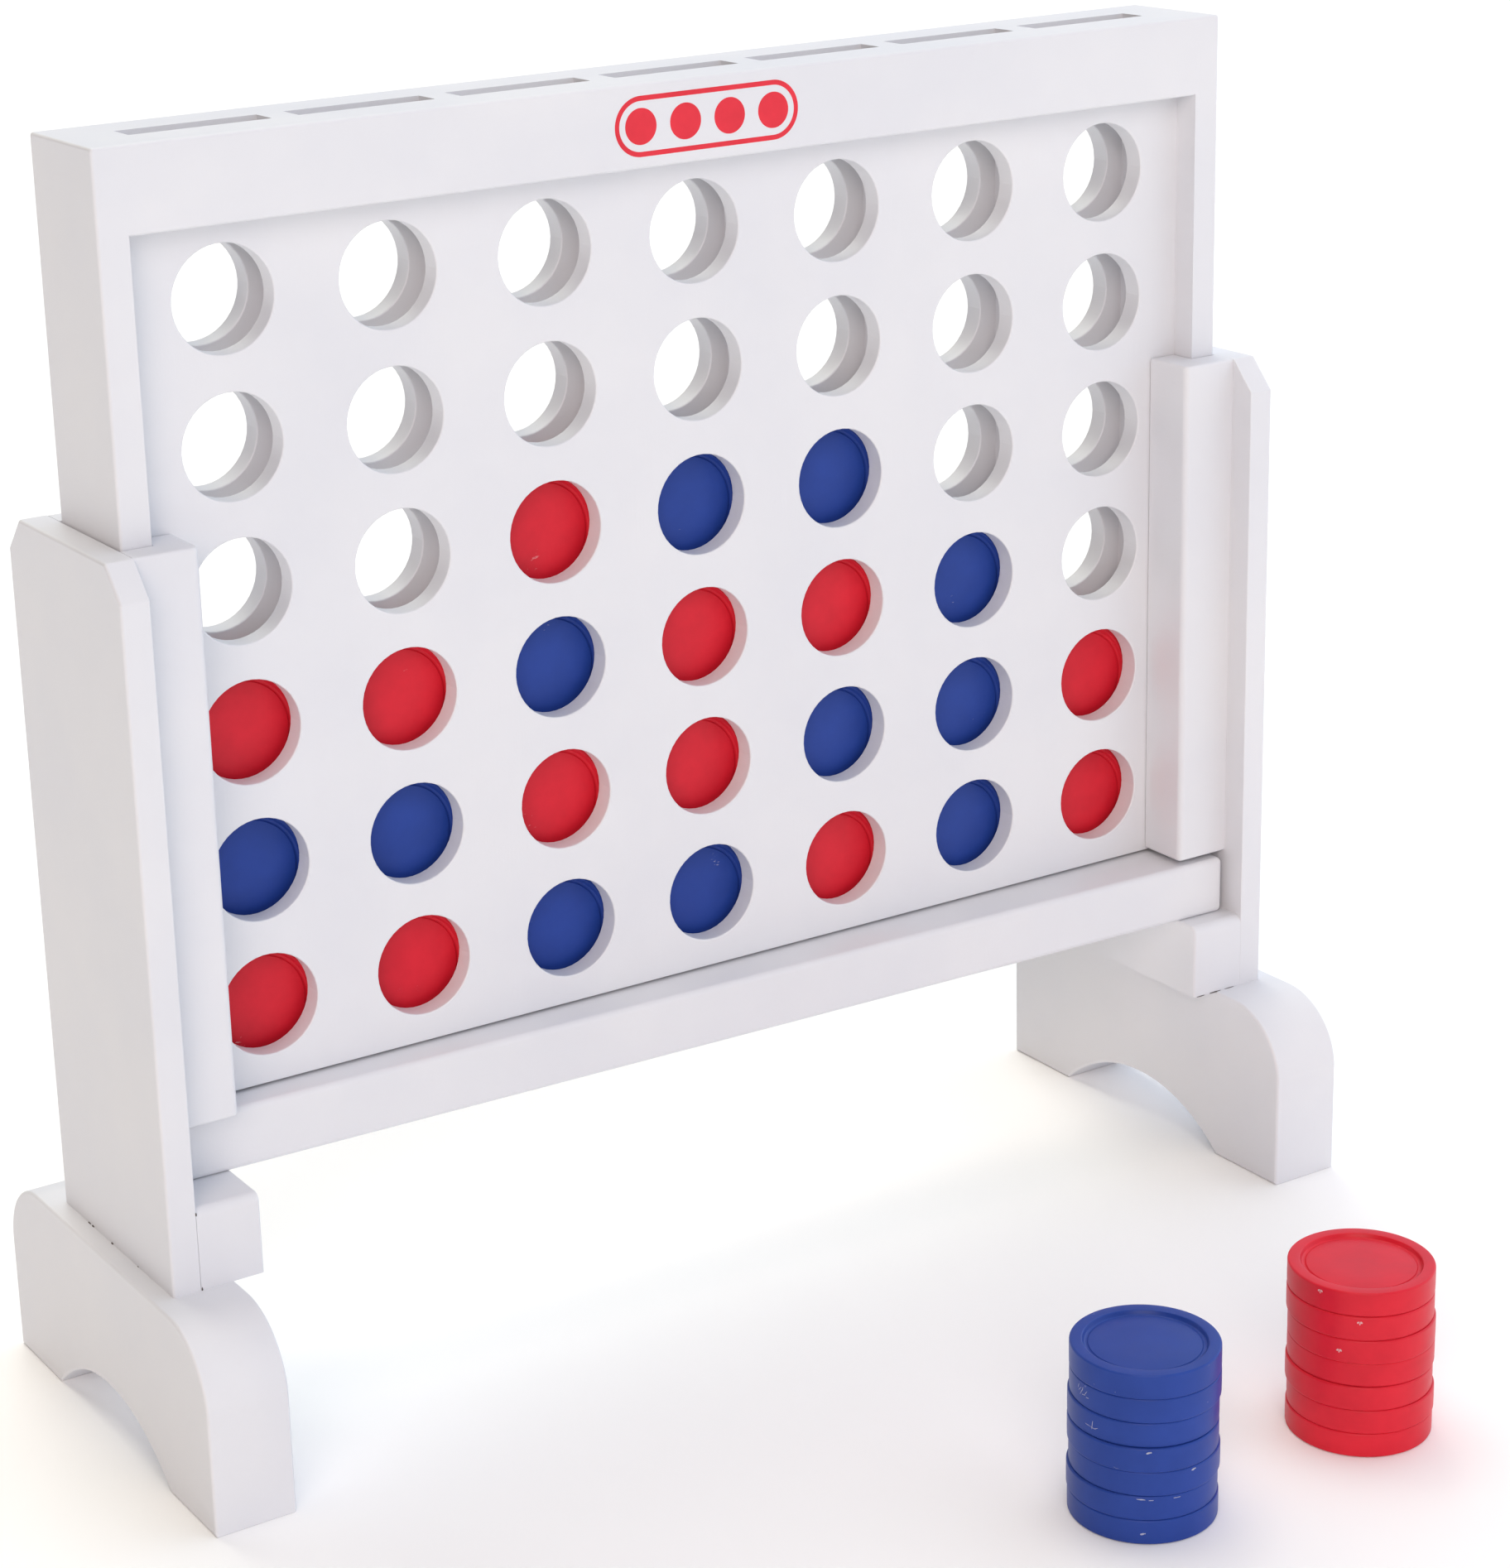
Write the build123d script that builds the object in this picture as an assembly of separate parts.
from build123d import *
import math
import os

# Giant four in a row: a white board with seven columns of six round windows, standing
# on a loose release bar between two legs, with red and blue discs in the columns and
# in two stacks on the floor. Millimetres, +Z up. The origin is on the floor midway
# between the two feet; X runs along the board and the players' front is -Y.

# ---------------------------------------------------------------- driving dimensions
COLUMNS = 7
ROWS = 6
COLUMN_PITCH = 110.7
ROW_PITCH = 90.0
WINDOW_DIAMETER = 67.0
BOTTOM_ROW_HEIGHT = 277.5      # floor to the centres of the lowest windows

BOARD_WIDTH = 835.0
BOARD_DEPTH = 89.0
BOARD_TOP = 828.0
STILE_THICKNESS = 20.0
PANEL_THICKNESS = 15.0
PANEL_RECESS = 19.0            # panel face behind the stile and header fronts
PANEL_BOTTOM = 225.7
HEADER_BOTTOM = 775.0
DIVIDER_WIDTH = 18.0

BAR_LENGTH = 831.0
BAR_FRONT = 56.2
BAR_BACK = 44.5
BAR_TOP = 223.5
BAR_BOTTOM = 182.0
BAR_YAW = 1.64                 # degrees; the loose bar lies askew, its right end further forward

SLIDE_CLEARANCE = 0.7          # between the board and the channels of the legs
SIDE_BOARD_THICKNESS = 19.0
SIDE_BOARD_DEPTH = 167.0
LEG_TOP = 591.5
CORNER_CUT_DEPTH = 19.0
CORNER_CUT_HEIGHT = 21.0
STRIP_INNER_EDGE = 376.0       # half the clear width between the front guide strips
REAR_STRIP_INNER_EDGE = 399.0
STRIP_THICKNESS = 19.0
STRIP_BOTTOM = 227.0
BLOCK_INNER_EDGE = 375.0

FOOT_HEIGHT = 128.0
FOOT_LENGTH = 304.0
FOOT_INNER = 395.3
FOOT_OUTER = 450.3
FOOT_END_RADIUS = 50.0
TOE_CREASE = 5.0               # degrees between the end of a toe's curve and its flat front
ARCH_HALF_SPAN = 86.0
ARCH_HEIGHT = 35.0

DISC_DIAMETER = 90.6
DISC_THICKNESS = 16.0
DISC_RECESS_DIAMETER = 74.0
DISC_RECESS_DEPTH = 2.2
DISC_EDGE_RADIUS = 1.2
DISC_GAP = 0.3                 # running clearance between discs in a column

EDGE_RADIUS = 2.0              # hand-sanded edges of the boards
WINDOW_EDGE_RADIUS = 1.0
BAR_EDGE_RADIUS = 4.0
STRIP_NOSE_RADIUS = 4.0
BLOCK_NOSE_RADIUS = 6.0
BLOCK_EDGE_RADIUS = 2.0
JOINT_EDGE_RADIUS = 0.7        # edges that lie flush with a glued neighbour

# Discs in each column from the bottom up: r red, b blue.
COLUMN_DISCS = ["rbr", "rbr", "brbr", "brrb", "rbrb", "bbb", "rr"]
# How far the discs of each level lie off their column's centre line.
LEVEL_SHIFT = [0.0, -0.5, 0.4, -0.4]

RED_STACK = (208.0, -438.0)
BLUE_STACK = (32.0, -439.5)
STACK_COUNT = 7
STACK_STAGGER = [(0, 0), (0.5, -0.4), (-0.6, 0.3), (0.7, 0.5), (-0.3, -0.6), (-1, 0.2), (-0.5, 0.6)]

# ------------------------------------------------------------------- derived values
HALF_WIDTH = BOARD_WIDTH / 2
HALF_DEPTH = BOARD_DEPTH / 2
PANEL_FRONT = HALF_DEPTH - PANEL_RECESS
GAP_HALF = PANEL_FRONT - PANEL_THICKNESS
PANEL_HALF_WIDTH = HALF_WIDTH - STILE_THICKNESS
SLOT_HALF_LENGTH = (COLUMN_PITCH - DIVIDER_WIDTH) / 2
CHANNEL_WALL = HALF_WIDTH + SLIDE_CLEARANCE
STRIP_BACK = HALF_DEPTH + SLIDE_CLEARANCE
STRIP_FRONT = STRIP_BACK + STRIP_THICKNESS


def column_x(column):
    """X of a column's centre, column 0 at the left."""
    return (column - (COLUMNS - 1) / 2) * COLUMN_PITCH


def block(x0, x1, y0, y1, z0, z1):
    """A rectangular board between two corners."""
    solid = Box(x1 - x0, y1 - y0, z1 - z0)
    return Pos((x0 + x1) / 2, (y0 + y1) / 2, (z0 + z1) / 2) * solid


def edges_along(solid, axis, keep):
    """Edges parallel to an axis whose midpoints pass a test."""
    return [edge for edge in solid.edges().filter_by(axis) if keep(edge @ 0.5)]


def mirrored(solid, side):
    """The solid as drawn on the right (+X), or its mirror image on the left."""
    return solid if side > 0 else mirror(solid, about=Plane.YZ)


# -------------------------------------------------------------------------- the board
def stile():
    """Upright end board of the frame, drawn on the right."""
    solid = block(PANEL_HALF_WIDTH, HALF_WIDTH, -HALF_DEPTH, HALF_DEPTH, BAR_TOP, BOARD_TOP)
    outer = [e for e in solid.edges() if (e @ 0.5).X > HALF_WIDTH - 0.1]
    top = edges_along(solid, Axis.X, lambda p: p.Z > BOARD_TOP - 0.1)
    return fillet(outer + top, EDGE_RADIUS)


def header(side):
    """Cross board over the top of one panel; side is -1 at the front and +1 at the back."""
    y_inner = side * PANEL_FRONT
    y_outer = side * HALF_DEPTH
    solid = block(
        -PANEL_HALF_WIDTH, PANEL_HALF_WIDTH,
        min(y_inner, y_outer), max(y_inner, y_outer),
        HEADER_BOTTOM, BOARD_TOP,
    )
    outer = edges_along(solid, Axis.X, lambda p: abs(p.Y) > HALF_DEPTH - 0.1)
    return fillet(outer, EDGE_RADIUS)


def panel(side):
    """Panel with the seven by six windows; side is -1 at the front and +1 at the back."""
    centre_y = side * (PANEL_FRONT + GAP_HALF) / 2
    solid = block(
        -PANEL_HALF_WIDTH, PANEL_HALF_WIDTH,
        centre_y - PANEL_THICKNESS / 2, centre_y + PANEL_THICKNESS / 2,
        PANEL_BOTTOM, BOARD_TOP,
    )
    cutter = Rot(90, 0, 0) * Cylinder(WINDOW_DIAMETER / 2, PANEL_THICKNESS + 2)
    centres = [
        Pos(column_x(column), centre_y, BOTTOM_ROW_HEIGHT + row * ROW_PITCH)
        for column in range(COLUMNS)
        for row in range(ROWS)
    ]
    solid = solid - [place * cutter for place in centres]
    rims = solid.edges().filter_by(GeomType.CIRCLE)
    return fillet(rims, WINDOW_EDGE_RADIUS)


def divider(x0, x1):
    """Upright strip between the panels that keeps neighbouring columns apart."""
    return block(x0, x1, -GAP_HALF, GAP_HALF, PANEL_BOTTOM, BOARD_TOP)


def dividers():
    """The six strips between the seven columns."""
    centres = [(column_x(i) + column_x(i + 1)) / 2 for i in range(COLUMNS - 1)]
    return [divider(x - DIVIDER_WIDTH / 2, x + DIVIDER_WIDTH / 2) for x in centres]


def end_spacer():
    """Strip between the last column and the stile, drawn on the right."""
    return divider(column_x(COLUMNS - 1) + SLOT_HALF_LENGTH, PANEL_HALF_WIDTH)


# --------------------------------------------------------------------- the release bar
def release_bar():
    """Loose bar on the two blocks that carries the board and closes the columns."""
    half = BAR_LENGTH / 2
    solid = block(-half, half, -BAR_FRONT, BAR_BACK, BAR_BOTTOM, BAR_TOP)
    return Rot(0, 0, -BAR_YAW) * fillet(solid.edges(), BAR_EDGE_RADIUS)


# ---------------------------------------------------------------------------- the legs
def side_board():
    """Upright outer board of a leg with its two top corners cut off, drawn on the right."""
    half = SIDE_BOARD_DEPTH / 2
    outline = Polyline(
        (-half, FOOT_HEIGHT),
        (half, FOOT_HEIGHT),
        (half, LEG_TOP - CORNER_CUT_HEIGHT),
        (half - CORNER_CUT_DEPTH, LEG_TOP),
        (-half + CORNER_CUT_DEPTH, LEG_TOP),
        (-half, LEG_TOP - CORNER_CUT_HEIGHT),
        close=True,
    )
    face = Plane.YZ * make_face(outline)
    solid = Pos(CHANNEL_WALL, 0, 0) * extrude(face, SIDE_BOARD_THICKNESS)
    exposed = [e for e in solid.edges() if (e @ 0.5).Z > FOOT_HEIGHT + 1]
    solid = fillet([e for e in exposed if (e @ 0.5).X > CHANNEL_WALL + 0.1], EDGE_RADIUS)
    inner = [e for e in solid.edges() if (e @ 0.5).Z > FOOT_HEIGHT + 1 and (e @ 0.5).X < CHANNEL_WALL + 0.1]
    return fillet(inner, JOINT_EDGE_RADIUS)


def front_guide_strip():
    """Rabbeted upright strip that holds the board in its channel, drawn on the right.

    Its outer part lies across the stile, and its inner part fills the recess beside the
    stile as far back as the panel. It is drawn at +Y and turned to the front.
    """
    tongue_edge = PANEL_HALF_WIDTH - SLIDE_CLEARANCE
    tongue_back = PANEL_FRONT + SLIDE_CLEARANCE
    outline = Polyline(
        (STRIP_INNER_EDGE, STRIP_FRONT),
        (CHANNEL_WALL, STRIP_FRONT),
        (CHANNEL_WALL, STRIP_BACK),
        (tongue_edge, STRIP_BACK),
        (tongue_edge, tongue_back),
        (STRIP_INNER_EDGE, tongue_back),
        close=True,
    )
    solid = Pos(0, 0, STRIP_BOTTOM) * extrude(make_face(outline), LEG_TOP - STRIP_BOTTOM)
    nose = edges_along(solid, Axis.Z, lambda p: p.X < STRIP_INNER_EDGE + 0.1 and p.Y > STRIP_FRONT - 0.1)
    solid = fillet(nose, STRIP_NOSE_RADIUS)
    ends = edges_along(solid, Axis.X, lambda p: p.Y > STRIP_FRONT - 0.1)
    return mirror(fillet(ends, EDGE_RADIUS), about=Plane.XZ)


def rear_guide_strip():
    """Plain upright strip behind the stile, no wider than the stile, drawn on the right."""
    solid = block(REAR_STRIP_INNER_EDGE, CHANNEL_WALL, STRIP_BACK, STRIP_FRONT, STRIP_BOTTOM, LEG_TOP)
    nose = edges_along(solid, Axis.Z, lambda p: p.X < REAR_STRIP_INNER_EDGE + 0.1 and p.Y > STRIP_FRONT - 0.1)
    solid = fillet(nose, STRIP_NOSE_RADIUS)
    ends = edges_along(solid, Axis.X, lambda p: p.Y > STRIP_FRONT - 0.1)
    return fillet(ends, EDGE_RADIUS)


def riser_block():
    """Block on the foot that carries one end of the release bar, drawn on the right."""
    half = SIDE_BOARD_DEPTH / 2
    solid = block(BLOCK_INNER_EDGE, CHANNEL_WALL, -half, half, FOOT_HEIGHT, BAR_BOTTOM)
    noses = edges_along(solid, Axis.X, lambda p: p.Z > BAR_BOTTOM - 0.1)
    solid = fillet(noses, BLOCK_NOSE_RADIUS)
    side = [e for e in solid.edges() if (e @ 0.5).X < BLOCK_INNER_EDGE + 0.1]
    return fillet([e for e in side if (e @ 0.5).Z > FOOT_HEIGHT + 1], BLOCK_EDGE_RADIUS)


def foot():
    """Arched foot with rounded toes, drawn on the right."""
    half = FOOT_LENGTH / 2
    top = FOOT_HEIGHT
    crease = math.radians(TOE_CREASE)
    radius = FOOT_END_RADIUS / math.cos(crease)
    shoulder = half - FOOT_END_RADIUS
    toe_top = top - radius * (1 - math.sin(crease))
    middle = (math.pi / 2 + crease) / 2
    mid_y = shoulder + radius * math.cos(middle)
    mid_z = top - radius * (1 - math.sin(middle))
    outline = [
        Line((-half, 0), (-half, toe_top)),
        ThreePointArc((-half, toe_top), (-mid_y, mid_z), (-shoulder, top)),
        Line((-shoulder, top), (shoulder, top)),
        ThreePointArc((shoulder, top), (mid_y, mid_z), (half, toe_top)),
        Line((half, toe_top), (half, 0)),
        Line((half, 0), (ARCH_HALF_SPAN, 0)),
        ThreePointArc((ARCH_HALF_SPAN, 0), (0, ARCH_HEIGHT), (-ARCH_HALF_SPAN, 0)),
        Line((-ARCH_HALF_SPAN, 0), (-half, 0)),
    ]
    face = Plane.YZ * make_face(Wire(outline))
    solid = Pos(FOOT_INNER, 0, 0) * extrude(face, FOOT_OUTER - FOOT_INNER)
    rims = [e for e in solid.edges() if abs((e @ 0.5).X - (FOOT_INNER + FOOT_OUTER) / 2) > 1]
    return fillet(rims, EDGE_RADIUS)


# --------------------------------------------------------------------------- the discs
def disc():
    """Moulded disc lying flat, with a raised rim round a shallow recess on both faces."""
    radius = DISC_DIAMETER / 2
    solid = Cylinder(radius, DISC_THICKNESS)
    recess = Cylinder(DISC_RECESS_DIAMETER / 2, DISC_RECESS_DEPTH)
    level = (DISC_THICKNESS - DISC_RECESS_DEPTH) / 2
    solid = solid - Pos(0, 0, level) * recess - Pos(0, 0, -level) * recess
    rims = [e for e in solid.edges().filter_by(GeomType.CIRCLE) if abs((e @ 0.5).Z) > level + 1]
    return fillet(rims, DISC_EDGE_RADIUS)


def disc_name(letter, place):
    colour = "red" if letter == "r" else "blue"
    return f"{colour}_disc_{place}"


def board_discs(upright):
    """Discs standing in the columns on the release bar, one node each."""
    nodes = {}
    for column, letters in enumerate(COLUMN_DISCS):
        for level, letter in enumerate(letters):
            z = BAR_TOP + DISC_GAP + DISC_DIAMETER / 2 + level * (DISC_DIAMETER + DISC_GAP)
            name = disc_name(letter, f"column_{column + 1}_level_{level + 1}")
            nodes[name] = Pos(column_x(column) + LEVEL_SHIFT[level], 0, z) * upright
    return nodes


def stacked_discs(flat):
    """Spare discs in one red and one blue stack on the floor, one node each."""
    nodes = {}
    for letter, (x, y), turn in (("r", RED_STACK, 1), ("b", BLUE_STACK, -1)):
        for level in range(STACK_COUNT):
            dx, dy = STACK_STAGGER[level]
            z = DISC_THICKNESS * (level + 0.5)
            name = disc_name(letter, f"stack_{level + 1}")
            nodes[name] = Pos(x + turn * dx, y + turn * dy, z) * flat
    return nodes


# ------------------------------------------------------------------------- every node
def build():
    nodes = {
        "front_panel": panel(-1),
        "rear_panel": panel(1),
        "front_header": header(-1),
        "rear_header": header(1),
        "column_dividers": Compound(children=dividers()),
        "release_bar": release_bar(),
    }
    for side, word in ((-1, "left"), (1, "right")):
        nodes[f"{word}_stile"] = mirrored(stile(), side)
        nodes[f"{word}_end_spacer"] = mirrored(end_spacer(), side)
        nodes[f"{word}_side_board"] = mirrored(side_board(), side)
        nodes[f"{word}_front_guide_strip"] = mirrored(front_guide_strip(), side)
        nodes[f"{word}_rear_guide_strip"] = mirrored(rear_guide_strip(), side)
        nodes[f"{word}_riser_block"] = mirrored(riser_block(), side)
        nodes[f"{word}_foot"] = mirrored(foot(), side)
    flat = disc()
    nodes.update(board_discs(Rot(90, 0, 0) * flat))
    nodes.update(stacked_discs(flat))
    return nodes


os.makedirs("parts", exist_ok=True)
for name, shape in build().items():
    export_step(shape, f"parts/{name}.step")
    print(name)
